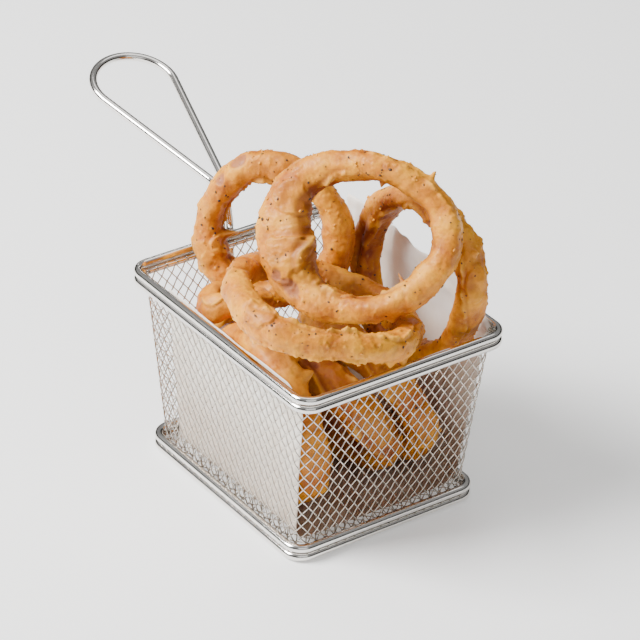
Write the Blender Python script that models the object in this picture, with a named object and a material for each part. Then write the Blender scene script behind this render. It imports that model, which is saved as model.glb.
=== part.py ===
"""Onion rings in a wire-mesh serving basket: a tapered basket on two stacked base rods, with a
teardrop wire handle, a paper liner and ten battered onion rings. Metres, +Z up."""

import math

import bpy
import numpy as np
from mathutils import Vector

# ---- basket, measured on the centre lines of its rods ----
ROD = 0.0039                 # diameter of the rim and base rods
CLEAR = 0.0003               # gap left between pieces that touch
TOP_HALF_X = 0.0525          # rim, half the short side
TOP_HALF_Y = 0.0660          # rim, half the long side
RIM_Z = 0.0880               # upper rim rod
RIM_CORNER = 0.0075
BASE_HALF_X = 0.0475         # base, half the short side
BASE_HALF_Y = 0.0565         # base, half the long side
BASE_CORNER = 0.0075
BASE_TOP_Z = 0.0081          # top of the two stacked base rods
MESH_T = 0.0009              # thickness of the woven wire
MESH_TOP_Z = 0.0846
MESH_FLOOR_Z = 0.0034        # underside of the woven floor
MESH_CORNER = 0.0060
HEM = 0.0014                 # diameter of the wire inside the mesh's top edge
HEM_Z = 0.0858

# ---- handle: one wire bent to a teardrop ----
WIRE = 0.0039
HANDLE_ROOT = (0.0755, 0.1106)       # y and z where the legs turn outwards
HANDLE_RISE = math.radians(14.8)
HANDLE_REACH = 0.0717                # root to the centre of the round end
HANDLE_LOOP_R = 0.0192
LEG_HALF_GAP = 0.0023
LEG_END_Z = 0.0660
LEG_BEND_R = 0.0060

# ---- paper liner: one strip over the two long walls and the floor ----
PAPER_T = 0.0005
PAPER_TOP_LEFT = 0.0868
PAPER_TOP_RIGHT = 0.1045
PAPER_BACK_Y = 0.0440
PAPER_FRONT_GAP = 0.0045
PAPER_BEND_R = 0.0090

# ---- where the basket stands: the origin is under the middle of the whole object ----
BASKET_X = 0.0032
BASKET_Y = -0.0467

# ---- onion rings ----
AROUND = 30                  # facets around a ring
SECTION = 8                  # facets around its batter section
REST_GAP = 0.0006

# centre in mm, compass heading and lift of the ring's axis, middle radius, half widths of the
# section (across and along the axis) in mm; then what makes each ring its own
RINGS = [
    dict(name="ring_top_front", at=(4, -24, 129.5), heading=221, lift=33, r=33.6,
         across=6.3, along=7.6, oval=0.085, thick=0.6, thick_at=190, hold=0.03, seed=5),
    dict(name="ring_top_back", at=(0, 33.5, 105.5), heading=222, lift=14, r=29.3,
         across=6.5, along=7.6, hold=0.03, seed=11),
    dict(name="ring_front_flat", at=(-16.5, -27.5, 103.5), heading=352, lift=73, r=37.8,
         across=6.4, along=6.8, hold=0.03, seed=3),
    dict(name="ring_right_tall", at=(38.2, -23, 100.5), heading=184, lift=10, r=34.5,
         across=6.0, along=8.2, dish=1.6, hold=0.03, seed=21),
    dict(name="ring_left_wall", at=(-35.5, -12, 49), heading=178, lift=-8, r=35.5,
         across=7.0, along=8.4, hold=0.5, seed=2),
    dict(name="ring_middle_left", at=(-5, -14, 47), heading=184, lift=-30, r=35,
         across=7.0, along=8.6, hold=0.5, seed=14),
    dict(name="ring_middle_right", at=(18, -15, 48), heading=182, lift=-25, r=35,
         across=7.0, along=8.6, hold=0.7, seed=17),
    dict(name="ring_back_wall", at=(5, 45.5, 40), heading=272, lift=4, r=28.5,
         across=6.5, along=7.6, seed=9),
    dict(name="ring_back_left", at=(-31, 29, 84), heading=60, lift=70, r=11.5,
         across=5.6, along=5.6, seed=6),
]

STEEL = (0.62, 0.61, 0.59, 1.0)
PAPER = (0.86, 0.84, 0.81, 1.0)
BATTER = (0.72, 0.42, 0.16, 1.0)


def clear_scene():
    for ob in list(bpy.data.objects):
        bpy.data.objects.remove(ob, do_unlink=True)


def make_material(name, colour, rough, metal):
    mat = bpy.data.materials.new(name)
    mat.use_nodes = True
    shader = mat.node_tree.nodes["Principled BSDF"]
    shader.inputs["Base Color"].default_value = colour
    shader.inputs["Roughness"].default_value = rough
    shader.inputs["Metallic"].default_value = metal
    return mat


def add_object(name, verts, faces, mat, parent, sharp=40):
    mesh = bpy.data.meshes.new(name)
    mesh.from_pydata([tuple(v) for v in verts], [], faces)
    mesh.materials.append(mat)
    mesh.shade_smooth()
    mesh.set_sharp_from_angle(angle=math.radians(sharp))
    mesh.update()
    ob = bpy.data.objects.new(name, mesh)
    bpy.context.collection.objects.link(ob)
    ob.parent = parent
    return ob


# ---------------------------------------------------------------- basket

def wall_x(z):
    """Outer face of the woven wall on the long sides, at height z."""
    low = BASE_HALF_X - ROD / 2 - CLEAR
    high = TOP_HALF_X - ROD / 2 - CLEAR
    return low + (high - low) * (z - BASE_TOP_Z) / (RIM_Z - BASE_TOP_Z)


def wall_y(z):
    """Outer face of the woven wall on the short sides, at height z."""
    low = BASE_HALF_Y - ROD / 2 - CLEAR
    high = TOP_HALF_Y - ROD / 2 - CLEAR
    return low + (high - low) * (z - BASE_TOP_Z) / (RIM_Z - BASE_TOP_Z)


def rounded_rectangle(half_x, half_y, corner, z, steps):
    """Points once round a rectangle with round corners, anticlockwise from above."""
    pts = []
    corners = ((1, -1, -90), (1, 1, 0), (-1, 1, 90), (-1, -1, 180))
    for sx, sy, start in corners:
        cx = sx * (half_x - corner)
        cy = sy * (half_y - corner)
        for k in range(steps + 1):
            a = math.radians(start + 90 * k / steps)
            pts.append(Vector((cx + corner * math.cos(a), cy + corner * math.sin(a), z)))
    return pts


def closed_tube(path, radius, section=8):
    """A tube round a level closed path, with one facet of its section facing straight down."""
    wide = radius / math.cos(math.pi / section)
    count = len(path)
    verts = []
    faces = []
    for i in range(count):
        ahead = (path[(i + 1) % count] - path[i]).normalized()
        behind = (path[i] - path[i - 1]).normalized()
        along = (ahead + behind).normalized()
        out = along.cross(Vector((0, 0, 1))).normalized()
        mitre = 1 / max(0.7, along.dot(ahead))
        for j in range(section):
            a = 2 * math.pi * (j + 0.5) / section
            side = out * (math.cos(a) * wide * mitre)
            verts.append(path[i] + side + Vector((0, 0, math.sin(a) * wide)))
    for i in range(count):
        for j in range(section):
            a = i * section + j
            b = ((i + 1) % count) * section + j
            c = ((i + 1) % count) * section + (j + 1) % section
            d = i * section + (j + 1) % section
            faces.append((a, b, c, d))
    return verts, faces


def rod_frame(name, half_x, half_y, corner, z, mat, parent):
    path = rounded_rectangle(half_x, half_y, corner, z, 5)
    verts, faces = closed_tube(path, ROD / 2)
    return add_object(name, verts, faces, mat, parent, 60)


def basket_mesh(mat, parent):
    """The woven basket as one thin open-topped shell that widens upwards."""
    floor = MESH_FLOOR_Z
    fold = 0.002
    t = MESH_T
    levels = [
        (floor, fold, 0.0), (floor + fold, 0.0, 0.0), (MESH_TOP_Z, 0.0, 0.0),
        (MESH_TOP_Z, 0.0, t), (floor + fold + t, 0.0, t), (floor + t, fold, t),
    ]
    verts = []
    faces = []
    count = 0
    for z, pulled_in, thin in levels:
        half_x = wall_x(z) - pulled_in - thin
        half_y = wall_y(z) - pulled_in - thin
        loop = rounded_rectangle(half_x, half_y, MESH_CORNER - thin, z, 4)
        count = len(loop)
        verts.extend(loop)
    for k in range(len(levels) - 1):
        for i in range(count):
            j = (i + 1) % count
            a = k * count
            b = (k + 1) * count
            faces.append((a + i, a + j, b + j, b + i))
    last = (len(levels) - 1) * count
    under = len(verts)
    verts.append(Vector((0, 0, floor)))
    inside = len(verts)
    verts.append(Vector((0, 0, floor + t)))
    for i in range(count):
        j = (i + 1) % count
        faces.append((under, j, i))
        faces.append((inside, last + i, last + j))
    return add_object("mesh_basket", verts, faces, mat, parent, 30)


def hem_wire(mat, parent):
    half_x = wall_x(HEM_Z) - HEM / 2 - 0.0002
    half_y = wall_y(HEM_Z) - HEM / 2 - 0.0002
    path = rounded_rectangle(half_x, half_y, MESH_CORNER, HEM_Z, 3)
    verts, faces = closed_tube(path, HEM / 2, 6)
    return add_object("hem_wire", verts, faces, mat, parent, 70)


# ---------------------------------------------------------------- handle

def rounded_path(corners, radius, steps):
    """A polyline whose inner corners are replaced by arcs."""
    pts = [corners[0]]
    for k in range(1, len(corners) - 1):
        before = (corners[k - 1] - corners[k]).normalized()
        after = (corners[k + 1] - corners[k]).normalized()
        half = before.angle(after) / 2
        if half > math.radians(85):
            pts.append(corners[k])
            continue
        cut = radius / math.tan(half)
        centre = corners[k] + (before + after).normalized() * (radius / math.sin(half))
        start = corners[k] + before * cut - centre
        end = corners[k] + after * cut - centre
        for i in range(steps + 1):
            turned = start.normalized().slerp(end.normalized(), i / steps)
            pts.append(centre + turned.normalized() * radius)
    pts.append(corners[-1])
    return pts


def handle_path():
    root_y, root_z = HANDLE_ROOT
    out = Vector((0, math.cos(HANDLE_RISE), math.sin(HANDLE_RISE)))
    across = Vector((1, 0, 0))
    root = Vector((0, root_y, root_z))
    loop_centre = root + out * HANDLE_REACH
    # the leg is the tangent from the root to the round end
    offset = HANDLE_LOOP_R - LEG_HALF_GAP
    spread = math.asin(offset / HANDLE_REACH)
    # the arc runs from one tangent point round the tip to the other
    start = math.pi / 2 + spread
    arc = []
    arc_steps = 22
    for k in range(arc_steps + 1):
        a = start - 2 * start * k / arc_steps
        arc.append(loop_centre + out * (math.cos(a) * HANDLE_LOOP_R)
                   + across * (math.sin(a) * HANDLE_LOOP_R))
    leg_y = TOP_HALF_Y + ROD / 2 + CLEAR + WIRE / 2
    foot = Vector((LEG_HALF_GAP, leg_y - 0.0012, LEG_END_Z))
    knee = Vector((LEG_HALF_GAP, leg_y, RIM_Z - 0.004))
    turn = Vector((LEG_HALF_GAP, leg_y + 0.0006, RIM_Z + 0.004))
    hip = Vector((LEG_HALF_GAP, root_y, root_z))
    leg = rounded_path([foot, knee, turn, hip, arc[0]], LEG_BEND_R, 4)
    mirrored = [Vector((-p.x, p.y, p.z)) for p in reversed(leg)]
    return leg + arc[1:-1] + mirrored


def open_tube(path, radius, section=8):
    """A tube with rounded ends, its frame carried along the path without twisting."""
    count = len(path)
    verts = []
    faces = []
    side = Vector((1, 0, 0))
    rings = []
    for i in range(count):
        ahead = path[min(i + 1, count - 1)] - path[i]
        behind = path[i] - path[max(i - 1, 0)]
        along = (ahead.normalized() + behind.normalized()).normalized()
        side = (side - along * side.dot(along)).normalized()
        up = along.cross(side)
        rings.append((path[i], along, side, up, radius))
    first = rings[0]
    last = rings[-1]
    start = (first[0] - first[1] * radius * 0.6, first[1], first[2], first[3], radius * 0.7)
    end = (last[0] + last[1] * radius * 0.6, last[1], last[2], last[3], radius * 0.7)
    rings = [start] + rings + [end]
    for centre, along, side, up, r in rings:
        for j in range(section):
            a = 2 * math.pi * j / section
            verts.append(centre + side * (math.cos(a) * r) + up * (math.sin(a) * r))
    for i in range(len(rings) - 1):
        for j in range(section):
            a = i * section + j
            b = i * section + (j + 1) % section
            faces.append((a, b, b + section, a + section))
    tip_a = len(verts)
    verts.append(first[0] - first[1] * radius)
    tip_b = len(verts)
    verts.append(last[0] + last[1] * radius)
    base = (len(rings) - 1) * section
    for j in range(section):
        k = (j + 1) % section
        faces.append((tip_a, k, j))
        faces.append((tip_b, base + j, base + k))
    return verts, faces


def handle(mat, parent):
    verts, faces = open_tube(handle_path(), WIRE / 2)
    return add_object("handle", verts, faces, mat, parent, 60)


# ---------------------------------------------------------------- paper

def paper_profile():
    """Across the basket: down the left wall, over the floor and up past the right rim."""
    gap = MESH_T + CLEAR + PAPER_T / 2
    low = MESH_FLOOR_Z + MESH_T + CLEAR + PAPER_T / 2
    foot = wall_x(low) - gap
    left = Vector((-(wall_x(PAPER_TOP_LEFT) - gap - HEM), 0, PAPER_TOP_LEFT))
    past_hem = wall_x(RIM_Z) - HEM - CLEAR * 2 - PAPER_T / 2
    right_rim = Vector((past_hem - 0.0002, 0, RIM_Z - 0.004))
    right_top = Vector((past_hem + 0.0012, 0, PAPER_TOP_RIGHT))
    corners = [left, Vector((-foot, 0, low)), Vector((foot, 0, low)), right_rim, right_top]
    pts = rounded_path(corners[:4], PAPER_BEND_R, 6)
    pts.append(right_top)
    fine = [pts[0]]
    for a, b in zip(pts, pts[1:]):
        cuts = max(1, round((b - a).length / 0.022))
        for k in range(cuts):
            fine.append(a.lerp(b, (k + 1) / cuts))
    return fine


def paper_liner(mat, parent):
    profile = paper_profile()
    count = len(profile)
    verts = []
    faces = []
    for i in range(count):
        p = profile[i]
        ahead = profile[min(i + 1, count - 1)]
        behind = profile[max(i - 1, 0)]
        along = (ahead - behind).normalized()
        inward = Vector((-along.z, 0, along.x))
        front = -(wall_y(min(p.z, RIM_Z)) - MESH_T - PAPER_FRONT_GAP)
        back = PAPER_BACK_Y - 0.004 * (1 - min(p.z, RIM_Z) / RIM_Z)
        if i == count - 1:
            front = front + 0.004
        for y in (front, back):
            for t in (-PAPER_T / 2, PAPER_T / 2):
                verts.append(Vector((p.x, y, p.z)) + inward * t)
    # corners of each station: 0 front outer, 1 front inner, 2 back outer, 3 back inner
    order = (0, 2, 3, 1)
    for i in range(count - 1):
        a = i * 4
        b = (i + 1) * 4
        for j in range(4):
            m = order[j]
            n = order[(j + 1) % 4]
            faces.append((a + n, b + n, b + m, a + m))
    faces.append((1, 3, 2, 0))
    last = (count - 1) * 4
    faces.append((last, last + 2, last + 3, last + 1))
    return add_object("paper_liner", verts, faces, mat, parent, 30)


# ---------------------------------------------------------------- onion rings

def ring_axes(heading, lift):
    h = math.radians(heading)
    u = math.radians(lift)
    axis = np.array([math.cos(h) * math.cos(u), math.sin(h) * math.cos(u), math.sin(u)])
    level = np.array([-math.sin(h), math.cos(h), 0.0])
    return level, np.cross(axis, level), axis


def ring_points(spec):
    """Vertices of a battered ring, AROUND by SECTION, in metres. A slice of onion is a short
    wide band, so the section is a rounded oblong; its radius, warp and thickness wander."""
    rng = np.random.default_rng(spec["seed"])
    phase = rng.uniform(0, 2 * math.pi, 9)
    level, rise, axis = ring_axes(spec["heading"], spec["lift"])
    turn = np.linspace(0, 2 * math.pi, AROUND, endpoint=False)
    angle = np.linspace(0, 2 * math.pi, SECTION, endpoint=False)
    radius = spec["r"] * (1 + spec.get("oval", 0.0) * np.cos(2 * turn))
    radius = radius + 0.8 * np.cos(3 * turn + phase[0]) + 0.5 * np.cos(5 * turn + phase[1])
    warp = 1.2 * np.cos(2 * turn + phase[2]) + 0.5 * np.cos(3 * turn + phase[3])
    lopsided = np.maximum(0, np.cos(turn - math.radians(spec.get("thick_at", 0)))) ** 2
    swell = 1 + spec.get("thick", 0.0) * lopsided
    across = swell * (1 + 0.09 * np.cos(3 * turn + phase[4]) + 0.06 * np.cos(5 * turn + phase[5]))
    along = 1 + 0.09 * np.cos(2 * turn + phase[6]) + 0.06 * np.cos(5 * turn + phase[7])
    across = spec["across"] * across
    along = spec["along"] * along
    out = np.sign(np.cos(angle)) * np.abs(np.cos(angle)) ** 0.8
    up = np.sign(np.sin(angle)) * np.abs(np.sin(angle)) ** 0.8
    dish = spec.get("dish", 0.0) * (out < -0.9)
    far = radius[:, None] + across[:, None] * out[None, :] + dish[None, :]
    lift = warp[:, None] + along[:, None] * up[None, :]
    pts = np.array(spec["at"], dtype=float)[None, None, :]
    pts = pts + (far * np.cos(turn)[:, None])[..., None] * level
    pts = pts + (far * np.sin(turn)[:, None])[..., None] * rise
    pts = pts + lift[..., None] * axis
    return pts.reshape(-1, 3) / 1000


def ring_faces():
    faces = []
    for i in range(AROUND):
        for j in range(SECTION):
            k = (i + 1) % AROUND
            m = (j + 1) % SECTION
            faces.append((i * SECTION + j, k * SECTION + j, k * SECTION + m, i * SECTION + m))
    return faces


def ring_normals(pts):
    grid = pts.reshape(AROUND, SECTION, 3)
    around = np.roll(grid, -1, 0) - np.roll(grid, 1, 0)
    section = np.roll(grid, -1, 1) - np.roll(grid, 1, 1)
    normal = np.cross(around, section)
    normal = normal / np.linalg.norm(normal, axis=2, keepdims=True)
    return normal.reshape(-1, 3)


def skin(pts):
    """The ring's vertices with the middles of its facets, and the outward normal of each."""
    grid = pts.reshape(AROUND, SECTION, 3)
    right = np.roll(grid, -1, 0)
    above = np.roll(grid, -1, 1)
    both = np.roll(right, -1, 1)
    middle = ((grid + right + above + both) / 4).reshape(-1, 3)
    n = ring_normals(pts).reshape(AROUND, SECTION, 3)
    nm = n + np.roll(n, -1, 0) + np.roll(n, -1, 1) + np.roll(np.roll(n, -1, 0), -1, 1)
    nm = nm / np.linalg.norm(nm, axis=2, keepdims=True)
    return np.vstack([pts, middle]), np.vstack([n.reshape(-1, 3), nm.reshape(-1, 3)])


def height_over(points, surface, normals):
    """Signed distance of each point over the nearest place on the other ring's skin."""
    square = (surface ** 2).sum(1)[None, :] - 2 * points @ surface.T
    near = square.argmin(1)
    step = points - surface[near]
    over = (step * normals[near]).sum(1)
    aside = np.linalg.norm(step, axis=1)
    inside = over < 0
    reach = np.where(inside, over, np.maximum(over, aside * 0.6))
    return reach, normals[near]


def walls_push(pts):
    """How far a ring must slide to be inside the basket and clear of the paper."""
    lining = HEM + PAPER_T + CLEAR * 4
    z = pts[:, 2]
    below = z < RIM_Z + ROD / 2 + 0.0006
    level = np.clip(z, MESH_FLOOR_Z, RIM_Z)
    side_x = np.array([wall_x(v) for v in level]) - lining
    side_y = np.array([wall_y(v) for v in level]) - lining
    beside_rim = z > HEM_Z + HEM
    side_y[beside_rim] = TOP_HALF_Y - ROD / 2 - CLEAR * 2
    tall = z < PAPER_TOP_RIGHT + 0.001
    push = np.zeros(3)
    push[0] -= max(0.0, (pts[:, 0] - side_x)[below | tall].max(initial=0.0))
    push[0] += max(0.0, (-side_x - pts[:, 0])[below].max(initial=0.0))
    push[1] -= max(0.0, (pts[:, 1] - side_y)[below].max(initial=0.0))
    push[1] += max(0.0, (-side_y - pts[:, 1])[below].max(initial=0.0))
    floor = MESH_FLOOR_Z + MESH_T + PAPER_T + CLEAR * 3
    push[2] += max(0.0, floor - z.min())
    return push


def settle(rings, holds, rounds=70):
    """Slide the rings apart until no two share space, as they would have come to rest."""
    count = len(rings)
    for _ in range(rounds):
        worst = 0.0
        for a in range(count):
            for b in range(a + 1, count):
                centre = rings[a].mean(0) - rings[b].mean(0)
                if np.linalg.norm(centre) > 0.1:
                    continue
                skin_a, normal_a = skin(rings[a])
                skin_b, normal_b = skin(rings[b])
                over_b, way_b = height_over(skin_a, skin_b, normal_b)
                over_a, way_a = height_over(skin_b, skin_a, normal_a)
                k = over_b.argmin()
                m = over_a.argmin()
                if over_b[k] < over_a[m]:
                    short = REST_GAP - over_b[k]
                    way = way_b[k]
                else:
                    short = REST_GAP - over_a[m]
                    way = -way_a[m]
                if short <= 0:
                    continue
                worst = max(worst, short)
                total = holds[a] + holds[b]
                rings[a] = rings[a] + way * (0.6 * short * holds[a] / total)
                rings[b] = rings[b] - way * (0.6 * short * holds[b] / total)
        for a in range(count):
            push = walls_push(rings[a])
            worst = max(worst, float(np.abs(push).max()))
            rings[a] = rings[a] + push
        if worst < 0.00005:
            break
    return rings


def press(rings, rounds=12, gap=0.0007):
    """Where two rings still touch, their batter flattens: vertices move out to the gap."""
    count = len(rings)
    for _ in range(rounds):
        moved = False
        for a in range(count):
            for b in range(count):
                if a == b:
                    continue
                skin_b, normal_b = skin(rings[b])
                over, way = height_over(rings[a], skin_b, normal_b)
                short = np.clip(gap - over, 0, 0.004)
                short[over < -0.006] = 0
                if short.max() > 0:
                    moved = True
                    rings[a] = rings[a] + way * (short * 0.55)[:, None]
        if not moved:
            break
    return rings


def lay_rings():
    rings = [ring_points(spec) for spec in RINGS]
    holds = [spec.get("hold", 1.0) for spec in RINGS]
    return press(settle(rings, holds))


def main():
    clear_scene()
    steel = make_material("stainless steel", STEEL, 0.25, 1.0)
    woven = make_material("woven steel wire", STEEL, 0.35, 1.0)
    paper = make_material("greaseproof paper", PAPER, 0.7, 0.0)
    stand = bpy.data.objects.new("onion_rings_side", None)
    bpy.context.collection.objects.link(stand)
    stand.location = (BASKET_X, BASKET_Y, 0)

    step = ROD + CLEAR
    rod_frame("rim_rod_upper", TOP_HALF_X, TOP_HALF_Y, RIM_CORNER, RIM_Z, steel, stand)
    rod_frame("rim_rod_lower", TOP_HALF_X, TOP_HALF_Y, RIM_CORNER, RIM_Z - step, steel, stand)
    base_z = ROD / 2
    rod_frame("base_rod_lower", BASE_HALF_X, BASE_HALF_Y, BASE_CORNER, base_z, steel, stand)
    rod_frame("base_rod_upper", BASE_HALF_X, BASE_HALF_Y, BASE_CORNER, base_z + step, steel,
              stand)
    basket_mesh(woven, stand)
    hem_wire(steel, stand)
    handle(steel, stand)
    paper_liner(paper, stand)

    faces = ring_faces()
    for spec, pts in zip(RINGS, lay_rings()):
        batter = make_material(spec["name"] + " batter", BATTER, 0.6, 0.0)
        add_object(spec["name"], pts, faces, batter, stand, 75)


main()
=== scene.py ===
"""Looks for the onion rings in their wire basket: battered rings, woven wire, polished rods
and a translucent paper liner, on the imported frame. Metres, +Z up."""

import math

import bpy
import bmesh
import numpy as np
from mathutils import Matrix, Vector, noise, kdtree


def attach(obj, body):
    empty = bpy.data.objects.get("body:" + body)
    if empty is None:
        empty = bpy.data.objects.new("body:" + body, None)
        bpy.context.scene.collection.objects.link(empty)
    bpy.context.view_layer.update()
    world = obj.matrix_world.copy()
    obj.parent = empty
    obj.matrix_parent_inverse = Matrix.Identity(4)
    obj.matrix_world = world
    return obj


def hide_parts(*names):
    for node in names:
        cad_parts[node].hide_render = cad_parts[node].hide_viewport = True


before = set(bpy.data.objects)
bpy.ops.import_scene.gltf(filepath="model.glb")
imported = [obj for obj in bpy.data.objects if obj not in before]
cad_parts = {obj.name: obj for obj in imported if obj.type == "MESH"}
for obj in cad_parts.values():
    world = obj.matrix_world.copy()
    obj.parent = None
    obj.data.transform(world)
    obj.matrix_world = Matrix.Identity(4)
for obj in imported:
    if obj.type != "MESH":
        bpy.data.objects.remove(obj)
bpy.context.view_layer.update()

# ---- sizes shared with the frame ----
AT = np.array([0.0032, -0.0467, 0.0])        # middle of the basket
ROD = 0.0039
TOP_X, TOP_Y, RIM_Z, RIM_R = 0.0525, 0.0660, 0.0880, 0.0075
BASE_X, BASE_Y, BASE_R = 0.0475, 0.0565, 0.0075
BASE_TOP = 0.0081
GAP = 0.0003
STEP = ROD + GAP
MESH_R = 0.0060
MESH_LOW, MESH_HIGH = 0.0044, 0.0846
HEM_Z, HEM = 0.0858, 0.0014
WIRE = 0.00060
WEAVE_LOW = 0.0060                           # where the wires leave the base
WEAVE_LIFT = 0.34                            # how far a wire swings, in wire thicknesses
SECTION = 7.5                                # mm of batter surface for each radian of section
PITCH_U, PITCH_Z = 0.0051, 0.0067
HANDLE = dict(root=(0.0755, 0.1106), rise=math.radians(14.8), reach=0.0717, loop=0.0192,
              half=0.0023, foot=0.066, wire=0.0039)


# ---------------------------------------------------------------- helpers

def make_piece(name, verts, faces, mat, smooth=True):
    mesh = bpy.data.meshes.new(name)
    mesh.from_pydata(np.asarray(verts, dtype=float).tolist(), [], faces)
    mesh.materials.append(mat)
    if smooth:
        mesh.shade_smooth()
    mesh.update()
    ob = bpy.data.objects.new(name, mesh)
    bpy.context.collection.objects.link(ob)
    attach(ob, "root")
    return ob


def unit(v):
    return v / np.maximum(np.linalg.norm(v, axis=-1, keepdims=True), 1e-12)


def tube(path, radius, sides=8, closed=False, out=None):
    """Vertices and faces of a tube; out is an optional outward direction at each point."""
    path = np.asarray(path, dtype=float)
    count = len(path)
    if closed:
        along = unit(np.roll(path, -1, 0) - np.roll(path, 1, 0))
    else:
        along = unit(np.gradient(path, axis=0))
    if out is None:
        out = np.zeros_like(path)
        side = np.array([0.0, 0.0, 1.0])
        if abs(along[0] @ side) > 0.9:
            side = np.array([1.0, 0.0, 0.0])
        for i in range(count):
            side = side - along[i] * (along[i] @ side)
            side = side / np.linalg.norm(side)
            out[i] = side
    else:
        out = unit(out - along * (out * along).sum(1, keepdims=True))
    other = np.cross(along, out)
    turn = np.linspace(0, 2 * math.pi, sides, endpoint=False)
    radius = np.broadcast_to(np.asarray(radius, dtype=float), (count,))
    ring = (out[:, None, :] * np.cos(turn)[None, :, None]
            + other[:, None, :] * np.sin(turn)[None, :, None])
    verts = (path[:, None, :] + ring * radius[:, None, None]).reshape(-1, 3)
    faces = []
    for i in range(count if closed else count - 1):
        k = (i + 1) % count
        for j in range(sides):
            m = (j + 1) % sides
            faces.append((i * sides + j, k * sides + j, k * sides + m, i * sides + m))
    if not closed:
        faces.append(tuple(range(sides)))
        faces.append(tuple((count - 1) * sides + j for j in reversed(range(sides))))
    return verts, faces


def join(parts):
    verts = []
    faces = []
    base = 0
    for v, f in parts:
        verts.append(v)
        faces.extend([tuple(i + base for i in face) for face in f])
        base += len(v)
    return np.vstack(verts), faces


def rounded_rectangle(hx, hy, r, z, arc=10, straight=6):
    pts = []
    for sx, sy, start in ((1, -1, -90), (1, 1, 0), (-1, 1, 90), (-1, -1, 180)):
        for k in range(arc + 1):
            a = math.radians(start + 90 * k / arc)
            pts.append((sx * (hx - r) + r * math.cos(a), sy * (hy - r) + r * math.sin(a), z))
        ex = {(1, -1): (1, 1), (1, 1): (-1, 1), (-1, 1): (-1, -1), (-1, -1): (1, -1)}[(sx, sy)]
        a = math.radians(start + 90)
        p = np.array(pts[-1])
        q = np.array((ex[0] * (hx - r) + r * math.cos(a), ex[1] * (hy - r) + r * math.sin(a), z))
        for k in range(1, straight):
            pts.append(tuple(p + (q - p) * k / straight))
    return np.array(pts) + AT


def wall_half(z, low, high):
    a = low - ROD / 2 - GAP
    b = high - ROD / 2 - GAP
    return a + (b - a) * (z - BASE_TOP) / (RIM_Z - BASE_TOP)


def on_wall(u, z, inset=0.0):
    """Point and outward direction on the woven wall: u is the share of the way round,
    starting at the middle of the front wall, z the height."""
    r = MESH_R
    sx = TOP_X - 0.0045 - r
    sy = TOP_Y - 0.0045 - r
    arc = r * math.pi / 2
    lengths = np.array([sx, arc, 2 * sy, arc, 2 * sx, arc, 2 * sy, arc, sx])
    ends = np.concatenate([[0], np.cumsum(lengths)]) / lengths.sum()
    u = np.mod(u, 1.0)
    z = np.broadcast_to(np.asarray(z, dtype=float), u.shape)
    hx = wall_half(z, BASE_X, TOP_X) - inset
    hy = wall_half(z, BASE_Y, TOP_Y) - inset
    part = np.clip(np.searchsorted(ends, u, side="right") - 1, 0, 8)
    f = (u - ends[part]) / (ends[part + 1] - ends[part])
    cx, cy = hx - r, hy - r
    x = np.zeros_like(u)
    y = np.zeros_like(u)
    nx = np.zeros_like(u)
    ny = np.zeros_like(u)
    turns = [(-90, -90), (-90, 0), (0, 0), (0, 90), (90, 90), (90, 180), (180, 180),
             (180, 270), (270, 270)]
    for k, (a0, a1) in enumerate(turns):
        m = part == k
        if not m.any():
            continue
        a = np.radians(a0 + (a1 - a0) * f[m])
        nx[m] = np.cos(a)
        ny[m] = np.sin(a)
        g = f[m]
        if k == 0:
            x[m], y[m] = cx[m] * g, -hy[m]
        elif k == 1:
            x[m], y[m] = cx[m] + r * np.cos(a), -cy[m] + r * np.sin(a)
        elif k == 2:
            x[m], y[m] = hx[m], -cy[m] + 2 * cy[m] * g
        elif k == 3:
            x[m], y[m] = cx[m] + r * np.cos(a), cy[m] + r * np.sin(a)
        elif k == 4:
            x[m], y[m] = cx[m] - 2 * cx[m] * g, hy[m]
        elif k == 5:
            x[m], y[m] = -cx[m] + r * np.cos(a), cy[m] + r * np.sin(a)
        elif k == 6:
            x[m], y[m] = -hx[m], cy[m] - 2 * cy[m] * g
        elif k == 7:
            x[m], y[m] = -cx[m] + r * np.cos(a), -cy[m] + r * np.sin(a)
        else:
            x[m], y[m] = -cx[m] + cx[m] * g, -hy[m]
    pts = np.stack([x, y, z], 1) + AT
    out = np.stack([nx, ny, np.zeros_like(nx)], 1)
    return pts, out, lengths.sum()


# ---------------------------------------------------------------- materials

def principled(name):
    mat = bpy.data.materials.new(name)
    mat.use_nodes = True
    nodes = mat.node_tree.nodes
    return mat, nodes, mat.node_tree.links, nodes["Principled BSDF"]


def noise_node(nodes, links, scale, detail=4, rough=0.55, kind="Object"):
    coord = nodes.new("ShaderNodeTexCoord")
    tex = nodes.new("ShaderNodeTexNoise")
    tex.inputs["Scale"].default_value = scale
    tex.inputs["Detail"].default_value = detail
    tex.inputs["Roughness"].default_value = rough
    links.new(coord.outputs[kind], tex.inputs["Vector"])
    return tex


def ramp(nodes, links, source, stops):
    node = nodes.new("ShaderNodeValToRGB")
    links.new(source, node.inputs["Fac"])
    while len(node.color_ramp.elements) < len(stops):
        node.color_ramp.elements.new(0.5)
    for element, (pos, colour) in zip(node.color_ramp.elements, stops):
        element.position = pos
        element.color = (*colour, 1.0)
    return node.outputs["Color"]


def mix(nodes, links, fac, a, b, mode="MIX"):
    node = nodes.new("ShaderNodeMix")
    node.data_type = "RGBA"
    node.blend_type = mode
    for socket, value in ((node.inputs[0], fac), (node.inputs[6], a), (node.inputs[7], b)):
        if hasattr(value, "is_output"):
            links.new(value, socket)
        elif isinstance(value, tuple):
            socket.default_value = (*value, 1.0)
        else:
            socket.default_value = value
    return node.outputs[2]


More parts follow.
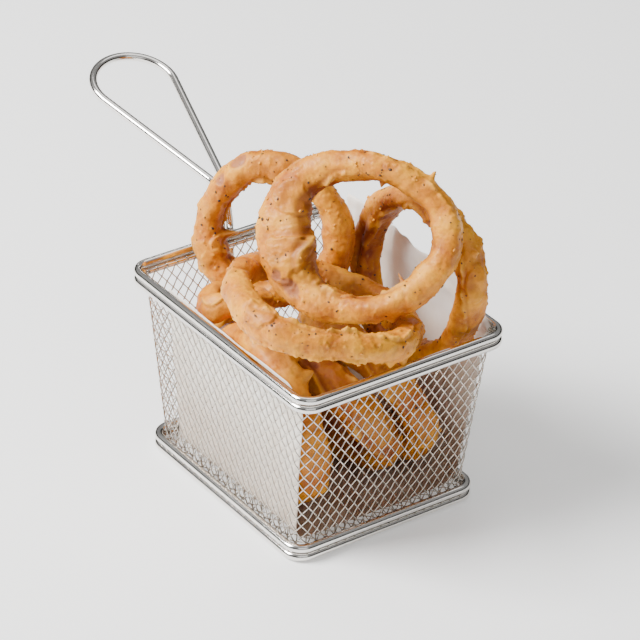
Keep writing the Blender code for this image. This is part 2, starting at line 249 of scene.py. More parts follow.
def steel_material(name, rough, colour):
    mat, nodes, links, shader = principled(name)
    shader.inputs["Metallic"].default_value = 1.0
    tex = noise_node(nodes, links, 420, 3)
    links.new(ramp(nodes, links, tex.outputs["Fac"],
                   [(0.3, tuple(c * 0.93 for c in colour)), (0.7, colour)]),
              shader.inputs["Base Color"])
    spread = nodes.new("ShaderNodeMapRange")
    spread.inputs["To Min"].default_value = rough * 0.75
    spread.inputs["To Max"].default_value = rough * 1.3
    broad = noise_node(nodes, links, 60, 4)
    links.new(broad.outputs["Fac"], spread.inputs["Value"])
    links.new(spread.outputs["Result"], shader.inputs["Roughness"])
    bump = nodes.new("ShaderNodeBump")
    bump.inputs["Strength"].default_value = 0.06
    bump.inputs["Distance"].default_value = 0.0003
    links.new(tex.outputs["Fac"], bump.inputs["Height"])
    links.new(bump.outputs["Normal"], shader.inputs["Normal"])
    return mat


def paper_material():
    mat, nodes, links, shader = principled("greaseproof paper")
    tex = noise_node(nodes, links, 90, 5)
    unshaded_paper = ramp(nodes, links, tex.outputs["Fac"],
                 [(0.3, (0.90, 0.81, 0.70)), (0.7, (0.96, 0.91, 0.84))])
    paint = nodes.new("ShaderNodeAttribute")
    paint.attribute_name = "painted_paper_shade"
    split = nodes.new("ShaderNodeSeparateColor")
    links.new(paint.outputs["Color"], split.inputs["Color"])
    # painted shade: the paper is mixed towards dark brown where the painted mask is high
    links.new(mix(nodes, links, split.outputs["Red"], unshaded_paper, (0.26, 0.135, 0.060)),
              shader.inputs["Base Color"])
    shader.inputs["Roughness"].default_value = 0.62
    shader.inputs["Subsurface Weight"].default_value = 0.35
    shader.inputs["Subsurface Radius"].default_value = (0.004, 0.0036, 0.0034)
    fibre = noise_node(nodes, links, 900, 3)
    bump = nodes.new("ShaderNodeBump")
    bump.inputs["Strength"].default_value = 0.15
    bump.inputs["Distance"].default_value = 0.0004
    links.new(fibre.outputs["Fac"], bump.inputs["Height"])
    links.new(bump.outputs["Normal"], shader.inputs["Normal"])
    return mat


def batter_material():
    """Golden batter with raw-onion patches; painted highlight makes the lumps and raised bits paler,
    painted shade browns the hollows, the inside face of the ring and rings low in the basket;
    the painted attribute holds painted shade, onion patch and painted highlight."""
    mat, nodes, links, shader = principled("fried batter")
    paint = nodes.new("ShaderNodeAttribute")
    paint.attribute_name = "batter"
    split = nodes.new("ShaderNodeSeparateColor")
    links.new(paint.outputs["Color"], split.inputs["Color"])
    broad = noise_node(nodes, links, 55, 5, 0.6)
    fine = noise_node(nodes, links, 560, 6, 0.7)
    base = ramp(nodes, links, broad.outputs["Fac"],
                [(0.36, GOLD_DEEP), (0.50, GOLD), (0.66, GOLD_PALE)])
    speck = ramp(nodes, links, fine.outputs["Fac"],
                 [(0.36, (0.78, 0.62, 0.45)), (0.52, (1.0, 1.0, 1.0)), (0.75, (1.05, 1.07, 1.10))])
    colour = mix(nodes, links, 0.6, base, speck, "MULTIPLY")
    # painted shade mixes in through the red channel, painted highlight through the blue, raw onion
    # through the green
    colour = mix(nodes, links, split.outputs["Red"], colour, BROWN)
    colour = mix(nodes, links, split.outputs["Blue"], colour, PALE)
    colour = mix(nodes, links, split.outputs["Green"], colour, ONION)
    links.new(colour, shader.inputs["Base Color"])
    gloss = nodes.new("ShaderNodeMapRange")
    gloss.inputs["To Min"].default_value = 0.36
    gloss.inputs["To Max"].default_value = 0.58
    links.new(broad.outputs["Fac"], gloss.inputs["Value"])
    links.new(gloss.outputs["Result"], shader.inputs["Roughness"])
    shader.inputs["Specular IOR Level"].default_value = 0.32
    shader.inputs["Subsurface Weight"].default_value = 0.10
    shader.inputs["Subsurface Radius"].default_value = (0.0045, 0.0020, 0.0009)
    shader.inputs["Coat Weight"].default_value = 0.07
    shader.inputs["Coat Roughness"].default_value = 0.18
    bump = nodes.new("ShaderNodeBump")
    bump.inputs["Strength"].default_value = 0.6
    bump.inputs["Distance"].default_value = 0.0007
    links.new(fine.outputs["Fac"], bump.inputs["Height"])
    links.new(bump.outputs["Normal"], shader.inputs["Normal"])
    return mat


def speck_material(name, dark, light, rough):
    mat, nodes, links, shader = principled(name)
    tex = noise_node(nodes, links, 700, 3)
    links.new(ramp(nodes, links, tex.outputs["Fac"], [(0.35, dark), (0.65, light)]),
              shader.inputs["Base Color"])
    shader.inputs["Roughness"].default_value = rough
    return mat


# Stronger than real batter: the view transform pales bright colours, and these make up for it.
GOLD_DEEP = (0.46, 0.125, 0.002)
GOLD = (0.70, 0.250, 0.004)
GOLD_PALE = (0.88, 0.395, 0.010)
# colour of the painted shade
BROWN = (0.22, 0.040, 0.001)
# colour of the painted highlight on raised batter
PALE = (0.88, 0.44, 0.045)
ONION = (0.34, 0.115, 0.050)


# ---------------------------------------------------------------- steel

def rods(mat):
    sizes = {
        "rim_rod_upper": (TOP_X, TOP_Y, RIM_R, RIM_Z),
        "rim_rod_lower": (TOP_X, TOP_Y, RIM_R, RIM_Z - STEP),
        "base_rod_lower": (BASE_X, BASE_Y, BASE_R, ROD / 2),
        "base_rod_upper": (BASE_X, BASE_Y, BASE_R, ROD / 2 + STEP),
    }
    for node, (hx, hy, r, z) in sizes.items():
        path = rounded_rectangle(hx, hy, r, z)
        verts, faces = tube(path, ROD / 2, 24, closed=True)
        ob = make_piece("round_" + node, verts, faces, mat)
        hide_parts(node)
    hx = wall_half(HEM_Z, BASE_X, TOP_X) - HEM / 2 - 0.0002
    hy = wall_half(HEM_Z, BASE_Y, TOP_Y) - HEM / 2 - 0.0002
    path = rounded_rectangle(hx, hy, MESH_R, HEM_Z)
    verts, faces = tube(path, HEM / 2, 10, closed=True)
    ob = make_piece("round_hem_wire", verts, faces, mat)
    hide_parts("hem_wire")


def smooth_corners(corners, radii, steps=8):
    pts = [corners[0]]
    for k in range(1, len(corners) - 1):
        a = unit(corners[k - 1] - corners[k])
        b = unit(corners[k + 1] - corners[k])
        half = math.acos(np.clip(a @ b, -1, 1)) / 2
        if half > math.radians(86):
            pts.append(corners[k])
            continue
        centre = corners[k] + unit(a + b) * (radii[k] / math.sin(half))
        cut = radii[k] / math.tan(half)
        start = corners[k] + a * cut - centre
        end = corners[k] + b * cut - centre
        whole = math.acos(np.clip(start @ end / (radii[k] ** 2), -1, 1))
        for i in range(steps + 1):
            t = i / steps
            pts.append(centre + (math.sin((1 - t) * whole) * start + math.sin(t * whole) * end)
                       / math.sin(whole))
    pts.append(corners[-1])
    return pts


def handle(mat):
    h = HANDLE
    root_y, root_z = h["root"]
    out = np.array([0, math.cos(h["rise"]), math.sin(h["rise"])])
    across = np.array([1.0, 0, 0])
    centre = np.array([0, root_y, root_z]) + out * h["reach"]
    spread = math.asin((h["loop"] - h["half"]) / h["reach"])
    start = math.pi / 2 + spread
    arc = []
    for k in range(61):
        a = start - 2 * start * k / 60
        arc.append(centre + out * math.cos(a) * h["loop"] + across * math.sin(a) * h["loop"])
    leg_y = TOP_Y + ROD / 2 + GAP + h["wire"] / 2
    corners = [np.array([h["half"], leg_y - 0.0012, h["foot"]]),
               np.array([h["half"], leg_y, RIM_Z - 0.004]),
               np.array([h["half"], leg_y + 0.0006, RIM_Z + 0.004]),
               np.array([h["half"], root_y, root_z]), arc[0]]
    leg = smooth_corners(corners, [0, 0.006, 0.006, 0.006, 0])
    full = []
    for a, b in zip(leg, leg[1:]):
        cuts = max(1, int(np.linalg.norm(b - a) / 0.004))
        for k in range(cuts):
            full.append(a + (b - a) * k / cuts)
    other = [p * np.array([-1, 1, 1]) for p in reversed(full)]
    path = np.array(full + arc + other) + AT
    radius = np.full(len(path), h["wire"] / 2)
    radius[0] = radius[-1] = h["wire"] / 2 * 0.6
    verts, faces = tube(path, radius, 18)
    ob = make_piece("round_handle", verts, faces, mat)
    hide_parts("handle")
    beads = []
    for side in (-1, 1):
        for z in (RIM_Z, RIM_Z - STEP):
            p = np.array([side * (h["half"] + 0.0010), TOP_Y + ROD / 2 + 0.0004, z]) + AT
            ball = bmesh.new()
            bmesh.ops.create_icosphere(ball, subdivisions=2, radius=0.0011)
            v = np.array([q.co for q in ball.verts]) * np.array([1.4, 0.8, 1.0]) + p
            beads.append((v, [tuple(q.index for q in f.verts) for f in ball.faces]))
            ball.free()
    verts, faces = join(beads)
    make_piece("handle_welds", verts, faces, mat)


def woven_basket(mat):
    """Two families of slanting wires round the tapered wall, each over one and under the
    next, then the floor, the wraps on the hem wire and the ends round the lower base rod."""
    total = on_wall(np.zeros(1), 0.04)[2]
    columns = int(round(total / PITCH_U))
    crossings = int(round((MESH_HIGH - WEAVE_LOW) / (PITCH_Z / 2)))
    per = 3
    v = np.arange(crossings * per + 1) / per
    z = WEAVE_LOW + v * (MESH_HIGH - WEAVE_LOW) / crossings
    parts = []
    ends = []
    for family in (1, -1):
        for i in range(columns):
            u = (i + 0.45 + family * v * 0.5) / columns
            pts, out, _ = on_wall(u, z, WIRE * 0.9)
            wave = family * np.cos(math.pi * v) * WIRE * WEAVE_LIFT
            parts.append(tube(pts + out * wave[:, None], WIRE / 2, 5, out=out))
            ends.append((u[0], u[-1]))
    verts, faces = join(parts)
    wall = make_piece("woven_wall", verts, faces, mat)
    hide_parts("mesh_basket")

    wraps = []
    for low, high in ends:
        # over the hem wire
        turn = np.radians(np.linspace(-60, 235, 8))
        p, out, _ = on_wall(np.full(8, high), np.full(8, HEM_Z), HEM / 2 + 0.0002)
        r = HEM / 2 + WIRE * 0.4
        path = p + out * (np.cos(turn) * r)[:, None]
        path = path + np.array([0, 0, 1.0]) * (np.sin(turn) * r)[:, None]
        shift = np.cross(out, [0, 0, 1.0])
        path = path + shift * np.linspace(-0.0006, 0.0006, 8)[:, None]
        wraps.append(tube(path, WIRE / 2, 5, out=shift))
        # down beside the base rods and round the outside of the lower one
        p, out, _ = on_wall(np.full(9, low), np.full(9, WEAVE_LOW), WIRE * 0.9)
        half = ROD / 2 + WIRE * 0.35
        middle = p + out * (ROD / 2 + WIRE * 0.9 + GAP)
        middle[:, 2] = ROD / 2
        turn = np.radians(np.linspace(180, 40, 9))
        path = middle + out * (np.cos(turn) * half)[:, None]
        path = path + np.array([0, 0, 1.0]) * (np.sin(turn) * half)[:, None]
        path[0, 2] = WEAVE_LOW
        shift = np.cross(out, [0, 0, 1.0])
        path = path + shift * np.linspace(0, 0.0012, 9)[:, None]
        path[:, 2] = np.maximum(path[:, 2], WIRE / 2)
        wraps.append(tube(path, WIRE / 2, 5, out=shift))
    verts, faces = join(wraps)
    make_piece("woven_edges", verts, faces, mat)

    floor = []
    hx = BASE_X - ROD / 2 - 0.0012
    hy = BASE_Y - ROD / 2 - 0.0012
    slope = PITCH_Z / PITCH_U
    count = int((hx + hy / slope) / (PITCH_U / 2)) + 1
    for family in (1, -1):
        for i in range(-count, count + 1, 2):
            x0 = i * PITCH_U / 2
            y = np.arange(-hy, hy + 1e-9, PITCH_Z / 4)
            x = x0 + family * y / slope
            ok = np.abs(x) <= hx
            if ok.sum() < 3:
                continue
            wave = family * np.cos(math.pi * (y + hy) / (PITCH_Z / 2)) * WIRE * 0.5
            pts = np.stack([x, y, 0.0039 + wave], 1)[ok] + AT
            floor.append(tube(pts, WIRE / 2, 4, out=np.tile([0, 0, 1.0], (ok.sum(), 1))))
    verts, faces = join(floor)
    make_piece("woven_floor", verts, faces, mat)


# ---------------------------------------------------------------- paper

def paper(mat):
    """One strip, down the left wall, over the floor and up past the right rim, with creases."""
    low = MESH_LOW + 0.0009
    left_top = 0.0870
    right_top = 0.1050
    foot = wall_half(low, BASE_X, TOP_X) - 0.0020
    left = wall_half(left_top, BASE_X, TOP_X) - 0.0024
    right = wall_half(RIM_Z, BASE_X, TOP_X) - 0.0024
    corners = [np.array([-left, 0, left_top]), np.array([-foot, 0, low]),
               np.array([foot, 0, low]), np.array([right, 0, RIM_Z - 0.004]),
               np.array([right + 0.0012, 0, right_top])]
    line = smooth_corners(corners[:4], [0, 0.009, 0.009, 0], 12) + [corners[4]]
    line = np.array(line)
    length = np.concatenate([[0], np.cumsum(np.linalg.norm(np.diff(line, axis=0), axis=1))])
    rows = 190
    cols = 76
    s = np.linspace(0, length[-1], rows)
    px = np.interp(s, length, line[:, 0])
    pz = np.interp(s, length, line[:, 2])
    verts = []
    for side in (0, 1):
        for i in range(rows):
            front = -(wall_half(min(pz[i], RIM_Z), BASE_Y, TOP_Y) - 0.0050)
            back = 0.0440 - 0.004 * (1 - min(pz[i], RIM_Z) / RIM_Z)
            tall = max(0.0, (pz[i] - 0.084) / 0.021)
            edge_low = max(0.0, 1 - s[i] / 0.012)
            for j in range(cols):
                f = j / (cols - 1)
                y = front + (back - front) * f
                q = Vector((px[i] * 38, y * 38, pz[i] * 38))
                free = smooth_step((pz[i] - RIM_Z) / 0.006) if px[i] > 0 else 0.0
                crease = (noise.noise(q) * 0.0006 + abs(noise.noise(q * 2.3)) * 0.0007
                          + abs(noise.noise(q * 4.1)) * 0.0016 * free)
                inward = np.array([-math.copysign(1, px[i]), 0, 0.0])
                if pz[i] < low + 0.004:
                    inward = np.array([0, 0, 1.0])
                wide = 0.0016 * math.sin(f * 9 + 1.1) * tall
                top = 0.0012 * math.sin(f * 7.0 + 0.5) + 0.0007 * math.sin(f * 23.0)
                # the left edge is cut round towards the front corner
                drop = 0.012 * max(0.0, 1 - f / 0.13) ** 2 * edge_low
                if px[i] > 0:
                    drop = tall * (0.017 * max(0.0, 1 - f / 0.30) ** 1.3
                                   + 0.0022 * abs(noise.noise(Vector((0.3, y * 160, 1.7)))))
                z = pz[i] + top * tall - drop
                p = np.array([px[i], y, z]) + inward * (crease + 0.0001 * side)
                p[0] += wide
                p[0] = min(p[0], TOP_X - ROD / 2 - 0.0006) if z > 0.08 else p[0]
                verts.append(p + AT)
    faces = []
    size = rows * cols
    for i in range(rows - 1):
        for j in range(cols - 1):
            a, b, c, d = (i * cols + j, (i + 1) * cols + j, (i + 1) * cols + j + 1, i * cols + j + 1)
            faces.append((a, b, c, d))
            faces.append((size + d, size + c, size + b, size + a))
    for i in range(rows - 1):
        a, b = i * cols, (i + 1) * cols
        faces.append((a, size + a, size + b, b))
        a, b = i * cols + cols - 1, (i + 1) * cols + cols - 1
        faces.append((b, size + b, size + a, a))
    for j in range(cols - 1):
        faces.append((j + 1, size + j + 1, size + j, j))
        a, b = (rows - 1) * cols + j, (rows - 1) * cols + j + 1
        faces.append((a, size + a, size + b, b))
    ob = make_piece("creased_paper", verts, faces, mat)
    pts = np.array(verts) - AT
    # painted shade: the paper darkens and browns towards the bottom of the basket, less on the left
    # wall, in blotches
    blot = fractal(pts, 60, 3, 2)
    right = smooth_step((pts[:, 0] + 0.046) / 0.006)
    paper_depth_shade = smooth_step((0.078 - pts[:, 2]) / 0.055) * (0.30 + 0.45 * right)
    paper_depth_shade = np.clip(paper_depth_shade + 0.22 * np.clip(blot, -0.5, 1) * (0.25 + paper_depth_shade), 0, 0.85)
    paint = ob.data.color_attributes.new("painted_paper_shade", "FLOAT_COLOR", "POINT")
    data = np.ones((len(pts), 4))
    data[:, :3] = paper_depth_shade[:, None]
    paint.data.foreach_set("color", data.ravel())
    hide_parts("paper_liner")


# ---------------------------------------------------------------- onion rings

# The heading and lift of each ring's axis, then what its batter does. Places are degrees round
# the ring (0 level, 90 top) and round the section (0 outside, 90 along the axis, 180 inside).
#   patches  place, size in mm                  bare onion
#   flaps    place, size, height in mm          loose sheets of batter
#   spikes   place, length, width in mm
#   bulges   place, two widths, height in mm
#   seams    from, to, section, height in mm    ragged ridges
#   bands    from, to, section, width, amount   strips of painted shade, in grooves and on the inner face
# painted_shade  amount   painted shade over the whole ring, for rings low in the basket
RINGS = {
    "ring_top_front": dict(axis=(221, 33), fine=True,
        bulges=[(200, 170, 15, 7.0, 5.2), (166, 178, 13, 5.5, 4.0)],
        bands=[(110, 240, 178, 5.5, 0.60)],
        patches=[(226, 70, 4.6), (214, 60, 2.4)],
        flaps=[(203, 110, 10.5, 1.9), (160, 120, 9.0, 1.2)],
        spikes=[(47, 10, 3.0, 0.9), (322, 175, 4.2, 0.9), (300, -10, 2.8, 1.6), (75, 170, 2.4, 1.5)],
        seams=[(95, 330, 150, 1.5), (20, 120, 40, 0.9), (230, 340, -50, 1.1)]),
    "ring_top_back": dict(axis=(222, 14), fine=True,
        patches=[(118, 40, 4.2), (138, 60, 2.6)],
        flaps=[(200, 150, 7.0, 1.4)],
        spikes=[(192, 178, 7.5, 2.4), (80, 170, 2.2, 1.4)],
        seams=[(60, 230, 170, 1.3), (150, 260, 30, 0.9)]),
    "ring_front_flat": dict(axis=(352, 73), fine=True,
        patches=[(165, -60, 3.0)],
        flaps=[(110, 60, 8.0, 1.2)],
        spikes=[(232, 60, 2.6, 1.5), (215, -60, 2.4, 1.8)],
        seams=[(95, 235, 85, 2.0), (80, 215, -55, 1.9), (240, 300, 20, 1.0)]),
    "ring_right_tall": dict(axis=(184, 10), fine=True,
        bulges=[(170, 100, 26, 3.2, -1.8), (205, 100, 20, 3.2, -1.6)],
        bands=[(105, 250, 105, 4.0, 0.95)],
        patches=[(72, 125, 3.4), (64, 150, 2.4)],
        flaps=[(20, 20, 8.0, 1.0)],
        spikes=[(38, 20, 4.4, 1.3), (330, 60, 2.0, 1.4)],
        seams=[(40, 200, 130, 1.3), (300, 400, 70, 1.5), (0, 120, -60, 1.0)]),
    # painted shade darkens the next three rings as a whole, as they stand low in the basket
    "ring_left_wall": dict(axis=(178, -8), painted_shade=0.14,
        patches=[], flaps=[(60, -70, 9.0, 1.2)],
        spikes=[(50, -60, 3.4, 1.8)], seams=[(20, 150, -80, 1.7), (200, 330, 60, 1.0)]),
    "ring_middle_left": dict(axis=(184, -30), painted_shade=0.55,
        patches=[], flaps=[(20, 0, 8.0, 1.0)], spikes=[(80, 30, 2.5, 1.6)],
        seams=[(-40, 100, 50, 1.3), (-60, 60, -60, 1.1)]),
    "ring_middle_right": dict(axis=(182, -25), painted_shade=0.38,
        patches=[], flaps=[(0, 10, 8.0, 1.0)], spikes=[(60, 10, 2.5, 1.6)],
        seams=[(-50, 90, 55, 1.4), (-60, 80, -55, 1.1)]),
    "ring_back_wall": dict(axis=(272, 4),
        patches=[], flaps=[(40, 0, 7.0, 1.0)], spikes=[], seams=[(0, 200, 60, 1.2)]),
    "ring_back_left": dict(axis=(60, 70),
        patches=[], flaps=[], spikes=[(120, 30, 2.2, 1.4)], seams=[(0, 300, 50, 1.1)]),
}


def ring_frame(node, heading, lift):
    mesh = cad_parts[node].data
    pts = np.zeros(len(mesh.vertices) * 3)
    mesh.vertices.foreach_get("co", pts)
    pts = pts.reshape(-1, 3)
    h, u = math.radians(heading), math.radians(lift)
    axis = np.array([math.cos(h) * math.cos(u), math.sin(h) * math.cos(u), math.sin(u)])
    level = np.array([-math.sin(h), math.cos(h), 0.0])
    rise = np.cross(axis, level)
    centre = pts.mean(0)
    return pts, centre, level, rise, axis


def ring_angles(points, base, centre, level, rise, axis):
    """Angle round the ring and round the section for each point."""
    q = base - centre
    t = np.arctan2(q @ rise, q @ level)
    far = np.hypot(q @ rise, q @ level)
    high = q @ axis
    bins = 24
    edges = np.linspace(-math.pi, math.pi, bins + 1)
    which = np.clip(np.digitize(t, edges) - 1, 0, bins - 1)
    mid_far = np.array([(far[which == k].max() + far[which == k].min()) / 2 if (which == k).any()
                        else far.mean() for k in range(bins)])
    mid_high = np.array([(high[which == k].max() + high[which == k].min()) / 2
                         if (which == k).any() else 0.0 for k in range(bins)])
    middle = (edges[:-1] + edges[1:]) / 2
    p = points - centre
    t = np.arctan2(p @ rise, p @ level)
    far = np.hypot(p @ rise, p @ level)
    r0 = np.interp(t, middle, mid_far, period=2 * math.pi)
    h0 = np.interp(t, middle, mid_high, period=2 * math.pi)
    s = np.arctan2(p @ axis - h0, far - r0)
    return t, s, r0


def wrap(a):
    return (a + math.pi) % (2 * math.pi) - math.pi


def apart(t, s, r0, at_t, at_s):
    """Distance in mm from a place on the batter, round the ring and round the section."""
    return (wrap(t - math.radians(at_t)) * r0 * 1000, wrap(s - math.radians(at_s)) * SECTION)


def stretch(t, from_t, to_t, fade):
    """1 between two angles round the ring, falling to 0 at both ends and outside them."""
    start, end = math.radians(from_t), math.radians(to_t)
    inside = np.mod(t - start, 2 * math.pi) / (end - start)
    return smooth_step(inside / fade) * smooth_step((1 - inside) / fade) * (inside < 1)


def fractal(points, scale, seed, octaves=1, gain=0.5):
    shift = Vector((seed * 1.7, seed * 0.9, -seed * 2.3))
    total = np.zeros(len(points))
    amp = 1.0
    for _ in range(octaves):
        total += amp * np.array([noise.noise(Vector(p) * scale + shift) for p in points])
        scale *= 2.03
        amp *= gain
    return total


def smooth_step(x):
    x = np.clip(x, 0, 1)
    return x * x * (3 - 2 * x)


def onion_ring(node, spec, mat, index):
    base, centre, level, rise, axis = ring_frame(node, *spec["axis"])
    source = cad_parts[node].data
    bm = bmesh.new()
    bm.from_mesh(source)
    bmesh.ops.remove_doubles(bm, verts=bm.verts, dist=0.00002)
    mesh = bpy.data.meshes.new("battered_" + node)
    bm.to_mesh(mesh)
    bm.free()
    mesh.materials.clear()
    ob = bpy.data.objects.new("battered_" + node, mesh)
    bpy.context.collection.objects.link(ob)
    voxel = 0.00062 if spec.get("fine") else 0.00085
    for kind, setup in (("SUBSURF", dict(levels=2, render_levels=2)),
                        ("REMESH", dict(mode="VOXEL", voxel_size=voxel)),
                        ("SMOOTH", dict(iterations=8, factor=0.5))):
        mod = ob.modifiers.new(kind.lower(), kind)
        for key, value in setup.items():
            setattr(mod, key, value)
    depsgraph = bpy.context.evaluated_depsgraph_get()
    done = bpy.data.meshes.new_from_object(ob.evaluated_get(depsgraph))
    ob.modifiers.clear()
    ob.data = done
    done.name = "battered_" + node
    bpy.data.meshes.remove(mesh)
    mesh = done
    count = len(mesh.vertices)
    pts = np.zeros(count * 3)
    mesh.vertices.foreach_get("co", pts)
    pts = pts.reshape(-1, 3)
    normal = np.zeros(count * 3)
    mesh.vertex_normals.foreach_get("vector", normal)
    normal = normal.reshape(-1, 3)
    t, s, r0 = ring_angles(pts, base, centre, level, rise, axis)
    seed = index * 13 + 5
    local = np.random.default_rng(seed)

    lumps = fractal(pts, 80, seed, 2)
    mid = fractal(pts, 210, seed + 3, 2)
    small = fractal(pts, 620, seed + 7, 2, 0.6)
    push = 0.00035 + 0.00105 * lumps + 0.00040 * mid + 0.00017 * small
    # painted shade: the dips of the mid-scale bumps get a darker colour
    hollow = np.clip(-mid * 1.1 - 0.15, 0, 1)
    # raised marks flaps, spikes, ridges and blisters for a painted highlight, a paler colour
    raised = np.zeros(count)
    patch = np.zeros(count)
    pull = np.zeros((count, 3))

    for at_t, at_s, size in spec["patches"]:
        dt, ds = apart(t, s, r0, at_t, at_s)
        d = np.hypot(dt, ds) / size + 0.25 * mid
        cover = 1 - smooth_step((d - 0.7) / 0.35)
        patch = np.maximum(patch, cover * 0.85)
        push -= 0.0008 * cover
    for at_t, at_s, size, height in spec["flaps"]:
        dt, ds = apart(t, s, r0, at_t, at_s)
        d = np.hypot(dt, ds) / size + 0.32 * lumps + 0.22 * mid
        cover = 1 - smooth_step((d - 0.82) / 0.14)
        push += 0.001 * height * cover * (0.55 + 0.45 * np.clip(d, 0, 1))
        raised = np.maximum(raised, cover * 0.10)
    for at_t, at_s, wide_t, wide_s, height in spec.get("bulges", []):
        dt, ds = apart(t, s, r0, at_t, at_s)
        push += 0.001 * height * np.exp(-(dt / wide_t) ** 2 - (ds / wide_s) ** 2)
    for at_t, at_s, long, wide in spec["spikes"]:
        dt, ds = apart(t, s, r0, at_t, at_s)
        d = np.hypot(dt, ds) / wide
        reach = np.exp(-d ** 2 * 1.2)
        bend = np.array([0.25, 0.1, 0.5]) * local.uniform(-0.6, 0.9)
        pull += (normal + bend) * (0.001 * long * reach)[:, None]
        raised = np.maximum(raised, reach * 0.25)
    for from_t, to_t, at_s, height in spec["seams"]:
        ends = stretch(t, from_t, to_t, 0.08)
        wander = 2.2 * np.sin(3 * t + seed) + 1.4 * np.sin(7 * t + 2 * seed)
        ds = wrap(s - math.radians(at_s)) * SECTION - wander
        ragged = np.clip(0.45 + 0.9 * mid + 0.9 * lumps + 0.2 * small, 0, 1.2)
        ridge = np.exp(-(ds / 0.85) ** 2) * ends * ragged
        push += 0.001 * height * ridge
        raised = np.maximum(raised, np.clip(ridge, 0, 1) * 0.55)
        # a groove under each ridge, darkened with painted shade
        under = np.exp(-((ds + 1.7) / 1.0) ** 2) * ends
        push -= 0.00035 * under
        hollow = np.maximum(hollow, 0.55 * under)
    # blisters
    tree = kdtree.KDTree(count)
    for i, p in enumerate(pts):
        tree.insert(p, i)
    tree.balance()
    for _ in range(int(90 * len(base) / 240) if spec.get("fine") else 60):
        i = int(local.integers(count))
        size = local.uniform(0.4, 1.0) * 0.001
        height = size * local.uniform(0.2, 0.6)
        for _, k, d in tree.find_range(pts[i], size):
            push[k] += height * (1 - (d / size) ** 2)
            raised[k] = max(raised[k], 0.3 * (1 - d / size))
    moved = pts + normal * push[:, None] + pull
    mesh.vertices.foreach_set("co", moved.ravel())
    mesh.update()

    # painted shade on the inside face of the ring
    inner = smooth_step((np.abs(s) - math.radians(115)) / math.radians(50))
    # strips of painted shade along grooves and on the inner face
    dark = np.zeros(count)
    for from_t, to_t, at_s, wide, much in spec.get("bands", []):
        ends = stretch(t, from_t, to_t, 0.15)
        ds = wrap(s - math.radians(at_s)) * SECTION / wide + 0.35 * mid
        dark = np.maximum(dark, much * ends * np.exp(-ds ** 2))
    # painted shade: hollows, the inside face, dips between lumps, the shade strips and each ring's
    # own amount
    painted_shade = np.clip(0.65 * hollow + 0.60 * inner + 0.25 * np.clip(-lumps, 0, 1) + dark
                    + spec.get("painted_shade", 0.0), 0, 1)
    paint = mesh.color_attributes.new("batter", "FLOAT_COLOR", "POINT")
    data = np.ones((count, 4))
    data[:, 0] = painted_shade
    data[:, 1] = patch
    # painted highlight: the raised bits and the tops of the lumps are paler
    data[:, 2] = np.clip(raised + 0.35 * np.clip(lumps, 0, 1), 0, 0.8)
    paint.data.foreach_set("color", data.ravel())
    mesh.materials.append(mat)
    mesh.shade_smooth()
    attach(ob, "root")
    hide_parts(node)
    return moved, normal


def scatter_specks(name, spots, sizes, squash, mat, local, sides=1):
    """Small irregular grains lying on the batter."""
    ball = bmesh.new()
    bmesh.ops.create_icosphere(ball, subdivisions=sides, radius=1.0)
    unit_v = np.array([v.co for v in ball.verts])
    unit_f = [tuple(v.index for v in f.verts) for f in ball.faces]
    ball.free()
    parts = []
    for (p, n), size in zip(spots, sizes):
        a = unit(np.cross(n, local.normal(size=3)))
        b = np.cross(n, a)
        shape = unit_v * (1 + local.uniform(-0.35, 0.35, (len(unit_v), 1)))
        shape = shape * np.array([size, size * local.uniform(0.45, 0.9), size * squash])
        v = p + shape[:, :1] * a + shape[:, 1:2] * b + shape[:, 2:] * n
        parts.append((v, unit_f))
    verts, faces = join(parts)
    return make_piece(name, verts, faces, mat)


def rings():
    mat = batter_material()
    local = np.random.default_rng(41)
    pepper = []
    crumbs = []
    for index, (node, spec) in enumerate(RINGS.items()):
        pts, normal = onion_ring(node, spec, mat, index)
        many = 210 if spec.get("fine") else 16
        for i in local.integers(0, len(pts), many):
            pepper.append((pts[i] + normal[i] * 0.0001, normal[i]))
        for i in local.integers(0, len(pts), many // 5):
            crumbs.append((pts[i] + normal[i] * 0.0002, normal[i]))
    dark = speck_material("black pepper", (0.012, 0.008, 0.005), (0.075, 0.035, 0.015), 0.6)
    sizes = (0.30 + 0.60 * local.uniform(0, 1, len(pepper)) ** 2.2) * 0.001
    scatter_specks("pepper_specks", pepper, sizes, 0.35, dark, local)
    gold = speck_material("batter crumbs", (0.60, 0.22, 0.01), (0.84, 0.38, 0.03), 0.55)
    sizes = local.uniform(0.35, 0.95, len(crumbs)) * 0.001
    scatter_specks("batter_crumbs", crumbs, sizes, 0.6, gold, local)


# ---------------------------------------------------------------- stage, light and camera

def stage():
    mat, _, _, shader = principled("pale floor")
    shader.inputs["Base Color"].default_value = FLOOR
    shader.inputs["Roughness"].default_value = 0.75
    shader.inputs["Specular IOR Level"].default_value = 0.2
    # painted light: the floor glows, brighter than its lamps make it, and lights the rings a little
    # from below
    shader.inputs["Emission Color"].default_value = FLOOR
    shader.inputs["Emission Strength"].default_value = 0.32
    mesh = bpy.data.meshes.new("floor")
    mesh.from_pydata([(-6, -6, 0), (6, -6, 0), (6, 6, 0), (-6, 6, 0)], [], [(0, 1, 2, 3)])
    mesh.materials.append(mat)
    floor = bpy.data.objects.new("floor", mesh)
    bpy.context.collection.objects.link(floor)
    floor.location.z = -0.0004


FLOOR = (0.93, 0.928, 0.92, 1.0)
HORIZON = (0.03, 0.025, 0.02)                # dark, for the streaks in the polished rods


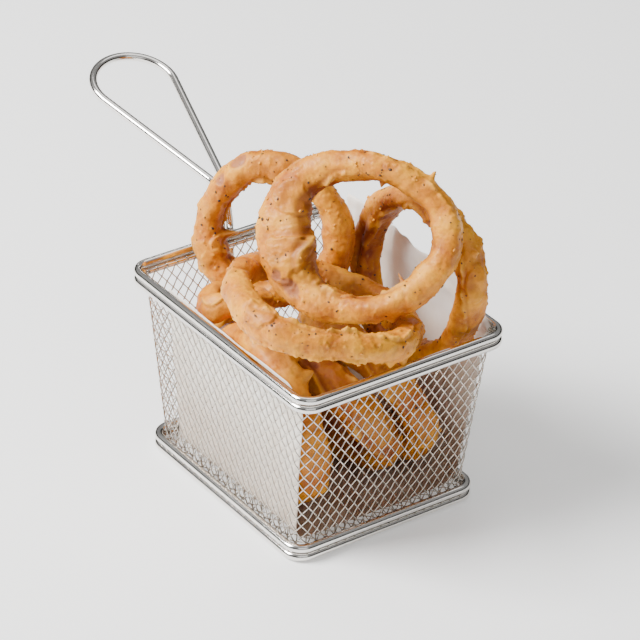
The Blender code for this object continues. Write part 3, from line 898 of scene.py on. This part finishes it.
def area_light(name, at, target, size, power, colour=(1, 1, 1)):
    light = bpy.data.lights.new(name, "AREA")
    light.shape = "RECTANGLE"
    light.size, light.size_y = size
    light.energy = power
    light.color = colour
    ob = bpy.data.objects.new(name, light)
    bpy.context.collection.objects.link(ob)
    ob.location = at
    ob.rotation_euler = (Vector(target) - Vector(at)).to_track_quat("-Z", "Y").to_euler()


def lights():
    middle = (0.0, -0.03, 0.07)
    area_light("key", (-1.15, 0.55, 1.35), middle, (1.0, 0.8), 94)
    area_light("fill", (-0.6, -1.5, 1.0), middle, (1.4, 1.2), 5)
    area_light("top", (0.3, 0.2, 1.9), middle, (1.6, 1.6), 13)
    world = bpy.data.worlds.new("studio")
    bpy.context.scene.world = world
    world.use_nodes = True
    nodes = world.node_tree.nodes
    links = world.node_tree.links
    coord = nodes.new("ShaderNodeTexCoord")
    split = nodes.new("ShaderNodeSeparateXYZ")
    links.new(coord.outputs["Generated"], split.inputs["Vector"])
    shade = ramp(nodes, links, split.outputs["Z"],
                 [(0.0, HORIZON), (0.30, HORIZON), (0.45, (0.80, 0.80, 0.80)),
                  (0.8, (1.0, 1.0, 1.0))])
    links.new(shade, nodes["Background"].inputs["Color"])
    nodes["Background"].inputs["Strength"].default_value = 0.32


def camera():
    azimuth, elevation, roll = math.radians(-36.14), math.radians(31.39), math.radians(1.778)
    target = Vector((0.0219, -0.0243, 0.060))
    back = Vector((math.sin(azimuth) * math.cos(elevation),
                   -math.cos(azimuth) * math.cos(elevation), math.sin(elevation)))
    right = Vector((0, 0, 1)).cross(back).normalized()
    up = back.cross(right)
    turned_right = right * math.cos(roll) + up * math.sin(roll)
    turned_up = up * math.cos(roll) - right * math.sin(roll)
    place = target + back * 1.596
    data = bpy.data.cameras.new("camera")
    data.lens = 202.5
    data.sensor_width = 36
    data.clip_end = 20
    ob = bpy.data.objects.new("camera", data)
    bpy.context.collection.objects.link(ob)
    matrix = Matrix((turned_right, turned_up, back)).transposed().to_4x4()
    matrix.translation = place
    ob.matrix_world = matrix
    bpy.context.scene.camera = ob


polished = steel_material("polished steel", 0.14, (0.80, 0.775, 0.74))
woven = steel_material("woven steel wire", 0.18, (0.66, 0.61, 0.545))
rods(polished)
handle(polished)
woven_basket(woven)
paper(paper_material())
rings()
stage()
lights()
camera()
